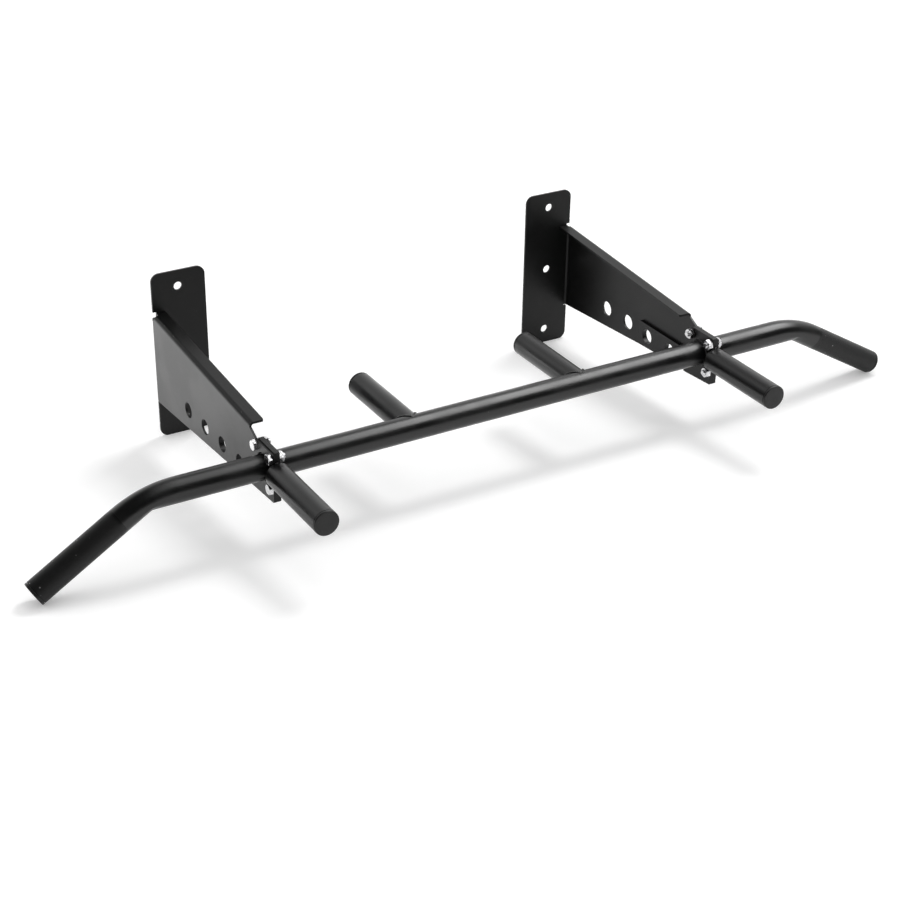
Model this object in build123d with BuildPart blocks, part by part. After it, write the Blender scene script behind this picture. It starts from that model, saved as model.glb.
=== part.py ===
from build123d import *
import os
from math import cos, radians, sin, tan

os.makedirs("parts", exist_ok=True)

# Wall-mounted pull up bar: two bent sheet brackets carry a bar in three bolted sections.
# Two short grips point towards the wall and two away from it.
# Millimetres. Origin: centre of the four outer wall holes, on the wall's surface.
# +X runs along the bar, +Y into the wall, +Z up.
# The "right" pieces lie at +X and the left ones mirror them.

# Wall fixing
WALL_HOLE_SPAN = 600.0  # from one bracket's column of wall holes to the other's
WALL_HOLE_PITCH = 100.0  # between the holes of one column
WALL_HOLE_COUNT = 3
WALL_HOLE_DIA = 12.0
WALL_LEAF_INNER_EDGE = 40.0  # hole column to the leaf's inner edge
WALL_LEAF_OUTER_EDGE = 38.5  # hole column to the leaf's free outer edge
WALL_LEAF_HEIGHT = 246.0
WALL_LEAF_CORNER_R = 12.0

# Bracket sheet
SHEET = 3.0
BEND_R = 3.0  # inside radius of both bends
SIDE_LEAF_OFFSET = 40.0  # hole column to the outer face of the side leaf
SIDE_LEAF_ROOT = 132.4  # height of the side leaf at the wall
SIDE_TAPER = 4.16  # degrees that each long edge closes in
NECK_HEIGHT = 29.3  # height above the bar's axis of the side leaf's front end
NECK_START = 328.0  # reach at which the neck begins
LIP_WIDTH = 20.0  # stiffening lip, measured from the side leaf's outer face
LIP_END = 312.0  # reach at which the lip stops
LIP_CORNER_R = 2.5
LIP_WALL_GAP = 0.5
RELIEF_MARGIN = 0.5  # relief beyond the bends' tangent lines
RELIEF_SLIT = 2.0  # height of the slit that parts the wall leaf from a bend
RELIEF_REACH = 9.0  # how far the corner relief runs along the side leaf
LIGHTENING_HOLE_DIA = 22.0
LIGHTENING_HOLE_COUNT = 4
LIGHTENING_HOLE_PITCH = 54.5
LIGHTENING_HOLE_REACH = 195.75  # middle of the row
LIGHTENING_HOLE_DROP = 29.5
ARM_HOLE_COUNT = 2  # foremost lightening holes that the outer flange's arm shares
ARM_MARGIN = 18.5  # from those holes' middles to the arm's top, rear end and rear bottom corner

# Bar
BAR_DIA = 33.5
BAR_WALL = 2.0
BAR_REACH = 350.0  # wall to the bar's axis
BAR_BEND_X = 496.0  # where the straight axes of an outer section meet
BAR_BEND_R = 150.0
BAR_DROP_ANGLE = 30.0
BAR_LEAN_ANGLE = 2.5  # forward lean of the drooping ends
BAR_END_LENGTH = 170.0  # from the axes' meeting point to the tube's end

# Bolted stack at each bracket
OUTER_FLANGE_THICKNESS = 4.5  # the flange on the outer section, which also carries the front grip
CENTRE_FLANGE_THICKNESS = 2.5
FLANGE_TOP = 31.0
FLANGE_REAR = 33.0  # bar's axis to the rear edge
FLANGE_CUT = 14.0  # rear top corner cut
FRONT_OVERHANG = 27.5  # bar's axis to the stack's front edges
FRONT_CORNER_R = 2.0  # side leaf and flanges
BAR_HOLE_CLEARANCE = 2.0  # round the bar in the side leaf
TONGUE_HEIGHT = 24.0  # outer flange's tongue in the front grip
TONGUE_LENGTH = 22.0
BOLT_DIA = 8.0
BOLT_SPACING = 42.0
BOLT_HOLE_CLEARANCE = 0.5
BOLT_END = 3.0  # bolt beyond its nut
HEX_ACROSS_FLATS = 13.0
HEAD_HEIGHT = 5.3
NUT_HEIGHT = 6.5
THREAD_CLEARANCE = 0.1
HEX_CHAMFER = 1.1
BOLT_CHAMFER = 1.0

# Short grips
FRONT_GRIP_LENGTH = 128.5
REAR_GRIP_X = 130.0
REAR_GRIP_LENGTH = 140.0  # bar's axis to the tube's end
COPE_TIP = 4.0  # ground off the cope's pointed tips

# End caps
CAP_HEAD = 4.0
CAP_CHAMFER = 0.8
CAP_STEM = 16.0
CAP_STEM_WALL = 2.0
CAP_STEM_CLEARANCE = 0.2

# Weld beads
BEAD_LEG = 2.0
HOLE_BEAD_LEG = 1.5  # bead in the gap between the bar and the side leaf
SEAM_BEAD = 1.6  # rear grips' bead: its height over both tubes

# Derived places
SIDE_X = WALL_HOLE_SPAN / 2 + SIDE_LEAF_OFFSET  # outer face of the right side leaf
STACK_X = SIDE_X - SHEET  # where the flanges meet the side leaf
OUTER_FLANGE_X = STACK_X - OUTER_FLANGE_THICKNESS
CENTRE_FLANGE_X = OUTER_FLANGE_X - CENTRE_FLANGE_THICKNESS
FRONT_GRIP_X = (STACK_X + CENTRE_FLANGE_X) / 2  # middle of the two flanges
BEND_OUTSIDE = BEND_R + SHEET
FRONT_REACH = BAR_REACH + FRONT_OVERHANG
BAR_R = BAR_DIA / 2
BORE_R = BAR_R - BAR_WALL


def edge_height(reach):
    """Half the side leaf's height at a distance from the wall."""
    return SIDE_LEAF_ROOT / 2 - reach * tan(radians(SIDE_TAPER))


def mirrored(builder):
    """The left-hand twin of a right-hand piece."""
    with BuildPart() as twin:
        mirror(builder.part, about=Plane.YZ)
    return twin


# Bracket -----------------------------------------------------------------------------------------------
LIP_PLANE = Plane(
    origin=(SIDE_X, 0, edge_height(0)),
    x_dir=(-1, 0, 0),
    z_dir=(0, -cos(radians(SIDE_TAPER)), -sin(radians(SIDE_TAPER))),
)

with BuildPart() as right_bracket:
    # wall leaf and side leaf, one strip bent round a vertical line
    with BuildSketch(Plane.XY.offset(-SIDE_LEAF_ROOT / 2)):
        with BuildLine():
            FilletPolyline(
                (WALL_HOLE_SPAN / 2, 0),
                (SIDE_X, 0),
                (SIDE_X, -FRONT_REACH),
                radius=BEND_OUTSIDE,
            )
            offset(amount=SHEET, side=Side.RIGHT)
        make_face()
    extrude(amount=SIDE_LEAF_ROOT)
    # the side leaf tapers, and its top stops where the lip's bend begins
    bend_top = edge_height(0) - BEND_OUTSIDE / cos(radians(SIDE_TAPER))
    bend_fall = LIP_END * tan(radians(SIDE_TAPER))
    with BuildSketch(Plane.YZ):
        with BuildLine():
            Polyline(
                (0, bend_top),
                (0, -edge_height(0)),
                (-FRONT_REACH, -edge_height(FRONT_REACH)),
                (-FRONT_REACH, NECK_HEIGHT),
                (-NECK_START, NECK_HEIGHT),
                (-LIP_END, bend_top - bend_fall),
                close=True,
            )
        make_face()
        fillet(vertices().group_by(Axis.X)[0], FRONT_CORNER_R)
    extrude(amount=SIDE_X, mode=Mode.INTERSECT)
    # stiffening lip, bent inwards along the sloping top edge
    with BuildSketch(LIP_PLANE.offset((SHEET + LIP_WALL_GAP) / cos(radians(SIDE_TAPER)))):
        with BuildLine():
            FilletPolyline((0, BEND_OUTSIDE + SHEET), (0, 0), (LIP_WIDTH, 0), radius=BEND_OUTSIDE)
            offset(amount=SHEET, side=Side.LEFT)
        make_face()
    extrude(amount=NECK_START)
    # front end: lip and its bend cut square, steep shoulder down to the neck
    with BuildSketch(Plane.YZ.offset(SIDE_X - 2 * LIP_WIDTH)):
        with BuildLine():
            Polyline(
                (-LIP_END, bend_top - bend_fall),
                (-NECK_START, NECK_HEIGHT),
                (-FRONT_REACH, NECK_HEIGHT),
                (-FRONT_REACH, edge_height(0)),
                (-LIP_END, edge_height(0)),
                close=True,
            )
        make_face()
    extrude(amount=3 * LIP_WIDTH, mode=Mode.SUBTRACT)
    lip_corner = (SIDE_X - LIP_WIDTH, -LIP_END, edge_height(LIP_END))
    fillet(edges().filter_by(Axis.Z).sort_by_distance(lip_corner)[0], LIP_CORNER_R)
    # wall leaf at its full height
    with BuildSketch(Plane.XZ):
        with Locations((WALL_HOLE_SPAN / 2 - WALL_LEAF_INNER_EDGE, 0)):
            RectangleRounded(
                WALL_LEAF_INNER_EDGE + WALL_LEAF_OUTER_EDGE,
                WALL_LEAF_HEIGHT,
                WALL_LEAF_CORNER_R,
                align=(Align.MIN, Align.CENTER),
            )
    extrude(amount=SHEET)
    # reliefs that let the two bends fold past each other and past the wall leaf
    relief_x = SIDE_X - BEND_OUTSIDE - RELIEF_MARGIN
    corner_floor = edge_height(0) - BEND_OUTSIDE - RELIEF_MARGIN
    with BuildSketch(Plane.XZ.offset(-SHEET)):
        with Locations((relief_x, corner_floor)):
            Rectangle(BEND_OUTSIDE + SHEET, edge_height(0) + RELIEF_SLIT - corner_floor, align=Align.MIN)
    extrude(amount=SHEET + RELIEF_REACH, mode=Mode.SUBTRACT)
    with BuildSketch(Plane.XZ.offset(-SHEET)):
        with Locations((relief_x, -edge_height(0))):
            Rectangle(BEND_OUTSIDE + SHEET, RELIEF_SLIT, align=(Align.MIN, Align.MAX))
    extrude(amount=2 * SHEET + BEND_OUTSIDE, mode=Mode.SUBTRACT)
    # wall holes
    with BuildSketch(Plane.XZ):
        with Locations((WALL_HOLE_SPAN / 2, 0)):
            with GridLocations(WALL_HOLE_PITCH, WALL_HOLE_PITCH, 1, WALL_HOLE_COUNT):
                Circle(WALL_HOLE_DIA / 2)
    extrude(amount=SHEET, mode=Mode.SUBTRACT)
    # lightening holes, bar hole and bolt holes
    with BuildSketch(Plane.YZ.offset(STACK_X)):
        with Locations((-LIGHTENING_HOLE_REACH, -LIGHTENING_HOLE_DROP)):
            with GridLocations(LIGHTENING_HOLE_PITCH, LIGHTENING_HOLE_PITCH, LIGHTENING_HOLE_COUNT, 1):
                Circle(LIGHTENING_HOLE_DIA / 2)
        with Locations((-BAR_REACH, 0)):
            Circle(BAR_R + BAR_HOLE_CLEARANCE)
            with GridLocations(BOLT_SPACING, BOLT_SPACING, 2, 2):
                Circle(BOLT_DIA / 2 + BOLT_HOLE_CLEARANCE)
    extrude(amount=SHEET, mode=Mode.SUBTRACT)


# Bolted flanges ----------------------------------------------------------------------------------------
def make_flange(inner_x, thickness, tongue_length, arm_holes):
    """A flange plate with its bolt holes.

    A tongue enters the front grip if it has a length.
    An arm runs back along the side leaf, round the number of foremost lightening holes given.
    """
    rear = -(BAR_REACH - FLANGE_REAR)
    last_hole = LIGHTENING_HOLE_REACH + (LIGHTENING_HOLE_COUNT - 1) * LIGHTENING_HOLE_PITCH / 2
    with BuildPart() as flange:
        with BuildSketch(Plane.YZ.offset(inner_x)):
            with BuildLine():
                Polyline(
                    (rear, -edge_height(-rear)),
                    (-FRONT_REACH, -edge_height(FRONT_REACH)),
                    (-FRONT_REACH, FLANGE_TOP),
                    (rear - FLANGE_CUT, FLANGE_TOP),
                    (rear, FLANGE_TOP - FLANGE_CUT),
                    close=True,
                )
            make_face()
            fillet(vertices().group_by(Axis.X)[0], FRONT_CORNER_R)
            if arm_holes:
                arm_middle = (arm_holes - 1) * LIGHTENING_HOLE_PITCH / 2 - last_hole
                arm_rear = (arm_holes - 1) * LIGHTENING_HOLE_PITCH - last_hole + ARM_MARGIN
                with BuildLine():
                    Polyline(
                        (arm_rear, ARM_MARGIN - LIGHTENING_HOLE_DROP),
                        (rear, ARM_MARGIN - LIGHTENING_HOLE_DROP),
                        (rear, -edge_height(-rear)),
                        (arm_rear, -ARM_MARGIN - LIGHTENING_HOLE_DROP),
                        close=True,
                    )
                make_face()
                with Locations((arm_middle, -LIGHTENING_HOLE_DROP)):
                    with GridLocations(LIGHTENING_HOLE_PITCH, LIGHTENING_HOLE_PITCH, arm_holes, 1):
                        Circle(LIGHTENING_HOLE_DIA / 2, mode=Mode.SUBTRACT)
            with Locations((-BAR_REACH, 0)):
                with GridLocations(BOLT_SPACING, BOLT_SPACING, 2, 2):
                    Circle(BOLT_DIA / 2 + BOLT_HOLE_CLEARANCE, mode=Mode.SUBTRACT)
            if tongue_length:
                with Locations((-FRONT_REACH, 0)):
                    Rectangle(tongue_length, TONGUE_HEIGHT, align=(Align.MAX, Align.CENTER))
        extrude(amount=thickness)
    return flange


outer_right_flange = make_flange(OUTER_FLANGE_X, OUTER_FLANGE_THICKNESS, TONGUE_LENGTH, ARM_HOLE_COUNT)
centre_right_flange = make_flange(CENTRE_FLANGE_X, CENTRE_FLANGE_THICKNESS, 0, 0)

# Bar ---------------------------------------------------------------------------------------------------
with BuildPart() as centre_bar:
    with BuildSketch(Plane.YZ.offset(-CENTRE_FLANGE_X)):
        with Locations((-BAR_REACH, 0)):
            Circle(BAR_R)
            Circle(BORE_R, mode=Mode.SUBTRACT)
    extrude(amount=2 * CENTRE_FLANGE_X)

droop = Vector(
    cos(radians(BAR_DROP_ANGLE)) * cos(radians(BAR_LEAN_ANGLE)),
    -cos(radians(BAR_DROP_ANGLE)) * sin(radians(BAR_LEAN_ANGLE)),
    -sin(radians(BAR_DROP_ANGLE)),
)
outer_root = Vector(STACK_X, -BAR_REACH, 0)
outer_corner = Vector(BAR_BEND_X, -BAR_REACH, 0)
outer_end = outer_corner + droop * BAR_END_LENGTH

with BuildPart() as right_outer_bar:
    with BuildLine():
        FilletPolyline(outer_root, outer_corner, outer_end, radius=BAR_BEND_R)
    with BuildSketch(Plane(origin=outer_root, z_dir=(1, 0, 0))):
        Circle(BAR_R)
        Circle(BORE_R, mode=Mode.SUBTRACT)
    sweep()

# Short grips -------------------------------------------------------------------------------------------
with BuildPart() as right_front_grip:
    with BuildSketch(Plane.XZ.offset(FRONT_REACH)):
        with Locations((FRONT_GRIP_X, 0)):
            Circle(BAR_R)
            Circle(BORE_R, mode=Mode.SUBTRACT)
    extrude(amount=FRONT_GRIP_LENGTH)

with BuildPart() as right_rear_grip:
    # the tube's end is coped to saddle the bar, its two knife-edged tips ground back
    with BuildSketch(Plane.XZ.offset(BAR_REACH - COPE_TIP)):
        with Locations((REAR_GRIP_X, 0)):
            Circle(BAR_R)
            Circle(BORE_R, mode=Mode.SUBTRACT)
    extrude(amount=-(REAR_GRIP_LENGTH - COPE_TIP))
    with BuildSketch(Plane.YZ.offset(REAR_GRIP_X - BAR_DIA)):
        with Locations((-BAR_REACH, 0)):
            Circle(BAR_R)
    extrude(amount=2 * BAR_DIA, mode=Mode.SUBTRACT)


# End caps ----------------------------------------------------------------------------------------------
def make_cap(seat):
    """A push-in cap: its head covers the tube's end on the seat plane, its hollow stem fills the bore."""
    stem_r = BORE_R - CAP_STEM_CLEARANCE
    with BuildPart() as cap:
        with BuildSketch(seat):
            Circle(BAR_R)
        extrude(amount=CAP_HEAD)
        chamfer(faces().sort_by(Axis(seat.origin, seat.z_dir))[-1].edges(), CAP_CHAMFER)
        with BuildSketch(seat):
            Circle(stem_r)
            Circle(stem_r - CAP_STEM_WALL, mode=Mode.SUBTRACT)
        extrude(amount=-CAP_STEM)
    return cap


right_bar_end_cap = make_cap(Plane(origin=outer_end, z_dir=droop))
front_grip_end = (FRONT_GRIP_X, -FRONT_REACH - FRONT_GRIP_LENGTH, 0)
right_front_grip_cap = make_cap(Plane(origin=front_grip_end, z_dir=(0, -1, 0)))
rear_grip_end = (REAR_GRIP_X, REAR_GRIP_LENGTH - BAR_REACH, 0)
right_rear_grip_cap = make_cap(Plane(origin=rear_grip_end, z_dir=(0, 1, 0)))


# Fasteners ---------------------------------------------------------------------------------------------
def hexagon_blank(height):
    """A hexagonal prism whose corners are turned off at its free end."""
    corner_r = HEX_ACROSS_FLATS / 2 / cos(radians(30))
    with BuildPart() as blank:
        Cylinder(corner_r, height, align=(Align.CENTER, Align.CENTER, Align.MIN))
        chamfer(faces().sort_by(Axis.Z)[-1].edges(), HEX_CHAMFER)
        with BuildSketch():
            RegularPolygon(HEX_ACROSS_FLATS / 2, 6, major_radius=False)
        extrude(amount=height, mode=Mode.INTERSECT)
    return blank


SHANK_LENGTH = SIDE_X - CENTRE_FLANGE_X + NUT_HEIGHT + BOLT_END

with BuildPart() as bolt:
    add(hexagon_blank(HEAD_HEIGHT).part)
    with BuildSketch():
        Circle(BOLT_DIA / 2)
    extrude(amount=-SHANK_LENGTH)
    chamfer(faces().sort_by(Axis.Z)[0].edges(), BOLT_CHAMFER)

with BuildPart() as nut:
    add(hexagon_blank(NUT_HEIGHT).part, rotation=(180, 0, 0))
    Hole(BOLT_DIA / 2 + THREAD_CLEARANCE)


BOLT_PLANE = Plane(origin=(0, -BAR_REACH, 0), x_dir=(0, 1, 0), z_dir=(1, 0, 0))  # square to the bar


def at_bolts(piece, distance):
    """Copies of one fastener at the four bolt axes of the right stack, at a distance along the bar."""
    with BuildPart() as copies:
        with Locations(BOLT_PLANE.offset(distance)):
            with GridLocations(BOLT_SPACING, BOLT_SPACING, 2, 2):
                add(piece.part)
    return copies


right_bolts = at_bolts(bolt, SIDE_X)
right_nuts = at_bolts(nut, CENTRE_FLANGE_X)


# Weld beads --------------------------------------------------------------------------------------------
BAR_AXIS = Axis((0, -BAR_REACH, 0), (1, 0, 0))
FRONT_GRIP_AXIS = Axis((FRONT_GRIP_X, 0, 0), (0, 1, 0))


def ring_bead(corner, along, outwards, axis):
    """A fillet bead in the corner between a tube and a plate, turned about the tube's axis."""
    with BuildPart() as bead:
        with BuildSketch():
            with BuildLine():
                Polyline(
                    corner,
                    (corner[0] + along, corner[1]),
                    (corner[0], corner[1] + outwards),
                    close=True,
                )
            make_face()
        revolve(axis=axis)
    return bead


bar_side = BAR_R - BAR_REACH
inner_bead = ring_bead((CENTRE_FLANGE_X, bar_side), -BEAD_LEG, BEAD_LEG, BAR_AXIS)
hole_bead = ring_bead((STACK_X, bar_side), HOLE_BEAD_LEG, HOLE_BEAD_LEG, BAR_AXIS)
grip_ring = ring_bead((FRONT_GRIP_X + BAR_R, -FRONT_REACH), BEAD_LEG, -BEAD_LEG, FRONT_GRIP_AXIS)

with BuildPart() as right_flange_welds:
    add(inner_bead.part)
    add(hole_bead.part)

with BuildPart() as right_front_grip_welds:
    # the bead runs only where the tube's rim crosses the outer flange's front edge
    add(grip_ring.part)
    with BuildSketch(Plane.YZ.offset(OUTER_FLANGE_X)):
        with Locations((-FRONT_REACH, 0)):
            Rectangle(2 * BAR_DIA, 2 * BAR_DIA)
    extrude(amount=OUTER_FLANGE_THICKNESS, mode=Mode.INTERSECT)

with BuildPart() as right_rear_grip_weld:
    # what lies within a bead's height of both tubes follows their seam, on the wall's side of the bar
    with BuildSketch(Plane.XZ.offset(BAR_REACH)):
        with Locations((REAR_GRIP_X, 0)):
            Circle(BAR_R + SEAM_BEAD)
            Circle(BAR_R, mode=Mode.SUBTRACT)
    extrude(amount=-BAR_DIA)
    with BuildSketch(Plane.YZ.offset(REAR_GRIP_X - BAR_DIA)):
        with Locations((-BAR_REACH, 0)):
            Circle(BAR_R + SEAM_BEAD)
            Circle(BAR_R, mode=Mode.SUBTRACT)
    extrude(amount=2 * BAR_DIA, mode=Mode.INTERSECT)

# Pieces ------------------------------------------------------------------------------------------------
def with_twin(builder):
    """A right-hand piece together with its left-hand twin."""
    with BuildPart() as pair:
        add(builder.part)
        mirror(builder.part, about=Plane.YZ)
    return pair


pieces = {"centre_bar": centre_bar}
handed = {
    "bracket": right_bracket,
    "outer_flange": outer_right_flange,
    "centre_flange": centre_right_flange,
    "outer_bar": right_outer_bar,
    "front_grip": right_front_grip,
    "rear_grip": right_rear_grip,
}
shared = {
    "bar_end_caps": right_bar_end_cap,
    "front_grip_caps": right_front_grip_cap,
    "rear_grip_caps": right_rear_grip_cap,
    "bolts": right_bolts,
    "nuts": right_nuts,
    "flange_welds": right_flange_welds,
    "front_grip_welds": right_front_grip_welds,
    "rear_grip_welds": right_rear_grip_weld,
}
for name, piece in handed.items():
    pieces[f"right_{name}"] = piece
    pieces[f"left_{name}"] = mirrored(piece)
for name, piece in shared.items():
    pieces[name] = with_twin(piece)
for name, piece in pieces.items():
    piece.part.label = name
    export_step(piece.part, f"parts/{name}.step")
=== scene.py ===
"""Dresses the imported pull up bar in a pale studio: powder coat, bent tubes, caps, fasteners and weld beads.

Lengths are metres in the part's own frame: +X along the bar, +Y into the wall, +Z up.
"""

import logging
from dataclasses import dataclass, field
from enum import Enum
from math import cos, pi, radians, sin

import bmesh
import bpy
import numpy as np
from mathutils import Matrix, Vector


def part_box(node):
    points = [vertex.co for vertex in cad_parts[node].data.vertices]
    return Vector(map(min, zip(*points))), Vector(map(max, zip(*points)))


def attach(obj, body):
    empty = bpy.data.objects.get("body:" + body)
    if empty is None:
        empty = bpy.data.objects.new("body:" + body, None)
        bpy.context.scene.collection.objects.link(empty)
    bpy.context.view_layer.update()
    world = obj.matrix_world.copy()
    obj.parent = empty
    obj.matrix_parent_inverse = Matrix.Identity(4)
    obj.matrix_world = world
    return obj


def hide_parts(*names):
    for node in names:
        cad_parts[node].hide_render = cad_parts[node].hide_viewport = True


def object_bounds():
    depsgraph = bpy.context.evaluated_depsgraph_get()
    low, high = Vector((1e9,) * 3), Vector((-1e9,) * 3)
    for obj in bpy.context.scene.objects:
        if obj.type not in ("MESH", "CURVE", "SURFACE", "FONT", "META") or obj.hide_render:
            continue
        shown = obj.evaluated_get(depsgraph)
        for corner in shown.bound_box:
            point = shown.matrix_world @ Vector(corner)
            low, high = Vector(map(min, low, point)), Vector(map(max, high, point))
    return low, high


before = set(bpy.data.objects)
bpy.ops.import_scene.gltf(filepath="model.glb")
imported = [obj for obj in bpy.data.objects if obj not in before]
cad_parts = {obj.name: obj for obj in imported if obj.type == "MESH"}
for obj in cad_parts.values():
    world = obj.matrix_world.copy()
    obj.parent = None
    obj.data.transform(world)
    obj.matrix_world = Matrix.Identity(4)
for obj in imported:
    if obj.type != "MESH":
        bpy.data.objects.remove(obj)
CAD_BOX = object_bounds()
BODY = "root"
MM = 0.001
TURN = 2 * pi
BAR_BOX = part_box("centre_bar")
TUBE_RADIUS = (BAR_BOX[1].z - BAR_BOX[0].z) / 2

log = logging.getLogger("pull_up_bar")

Points = np.ndarray
Socket = bpy.types.NodeSocket
Span = tuple[float, float]
Inputs = dict[str, tuple[str, object]]
Sockets = dict[str, Socket]


class Slot(Enum):
    """Material slot names for the new pieces; nothing in this script uses them."""

    TUBE = "tube_coat"
    WELD = "weld_bead_coat"
    PLASTIC = "cap_plastic"
    ZINC = "zinc_plate"


class Side(Enum):
    """The two mirrored halves of the bar."""

    RIGHT = 1
    LEFT = -1

    @property
    def label(self) -> str:
        """The side's word in the nodes' names."""
        return self.name.lower()

    @property
    def flip(self) -> Points:
        """What a right-hand point is multiplied by to lie on this side."""
        return np.array([self.value, 1, 1])


# Surfaces ----------------------------------------------------------------------------------------------
def unit(vector: Points) -> Points:
    """A vector, or an array of them, scaled to length one."""
    return vector / np.linalg.norm(vector, axis=-1, keepdims=True)


def frame_round(axis: Points) -> tuple[Points, Points]:
    """Two directions square to an axis and to each other.

    Args:
        axis: A unit vector.

    Returns:
        The two unit vectors, which with the axis make a right-handed set.
    """
    helper = np.array([0.0, 0.0, 1.0]) if abs(axis[2]) < 0.9 else np.array([0.0, 1.0, 0.0])
    first = unit(np.cross(helper, axis))
    return first, np.cross(axis, first)


def turned(profile: Points, centre: Points, axis: Points, segments: int) -> Points:
    """A profile turned about an axis.

    Each point is the centre, plus the profile's height along the axis, plus its radius times the
    direction at that angle round the axis.

    Args:
        profile: Rows of (radius, height along the axis).
        centre: Where height is zero.
        axis: Unit vector of the axis.
        segments: Steps round the full turn.

    Returns:
        A grid of points, one row for each angle and one column for each profile point.
    """
    angle = np.linspace(0, TURN, segments, endpoint=False)[:, None, None]
    first, second = frame_round(axis)
    outward = np.cos(angle) * first + np.sin(angle) * second
    return centre + profile[None, :, :1] * outward + profile[None, :, 1:2] * axis


def arc(centre: tuple[float, float], radius: float, start: float, end: float, count: int) -> Points:
    """Points of an arc: the centre plus the radius times the cosine and sine of evenly spaced angles.

    Args:
        centre: The arc's centre.
        radius: Its radius.
        start: First angle in degrees.
        end: Last angle in degrees.
        count: How many points.

    Returns:
        Rows of (x, y).
    """
    angle = np.radians(np.linspace(start, end, count))
    return np.array(centre) + radius * np.stack([np.cos(angle), np.sin(angle)], axis=1)


class Skin:
    """Grids of points gathered into one outward-facing mesh."""

    doubles_within = 1e-4 * MM
    edges_under = 1e-5 * MM

    def __init__(self) -> None:
        """Starts with no grid."""
        self.points: list[Points] = []
        self.quads: list[Points] = []
        self.count = 0

    def add(self, grid: Points, round_rows: bool = True, round_columns: bool = False) -> None:
        """Adds a grid whose neighbouring points make quads.

        Args:
            grid: Points of shape rows, columns, 3.
            round_rows: The last row joins the first.
            round_columns: The last column joins the first.
        """
        rows, columns = grid.shape[:2]
        row = np.arange(rows if round_rows else rows - 1)[:, None]
        column = np.arange(columns if round_columns else columns - 1)[None, :]
        next_row, next_column = (row + 1) % rows, (column + 1) % columns
        corners = [row * columns + column, next_row * columns + column]
        corners += [next_row * columns + next_column, row * columns + next_column]
        quads = np.stack([c.ravel() for c in np.broadcast_arrays(*corners)], axis=1)
        self.points.append(grid.reshape(-1, 3))
        self.quads.append(quads + self.count)
        self.count += rows * columns

    def to_object(self, name: str, sharp_angle: float = 35.0) -> bpy.types.Object:
        """Makes the object, with its doubles merged and the faces of each closed shell turned outwards.

        Args:
            name: The piece's name.
            sharp_angle: Edges that turn by more degrees than this stay sharp.

        Returns:
            The linked object.
        """
        mesh = bpy.data.meshes.new(name)
        mesh.from_pydata(np.concatenate(self.points), [], np.concatenate(self.quads))
        work = bmesh.new()
        work.from_mesh(mesh)
        bmesh.ops.remove_doubles(work, verts=work.verts, dist=self.doubles_within)
        bmesh.ops.dissolve_degenerate(work, edges=work.edges, dist=self.edges_under)
        bmesh.ops.recalc_face_normals(work, faces=work.faces)
        work.to_mesh(mesh)
        work.free()
        mesh.polygons.foreach_set("use_smooth", np.ones(len(mesh.polygons), dtype=bool))
        mesh.set_sharp_from_angle(angle=radians(sharp_angle))
        piece = bpy.data.objects.new(name, mesh)
        bpy.context.scene.collection.objects.link(piece)
        return piece


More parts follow.
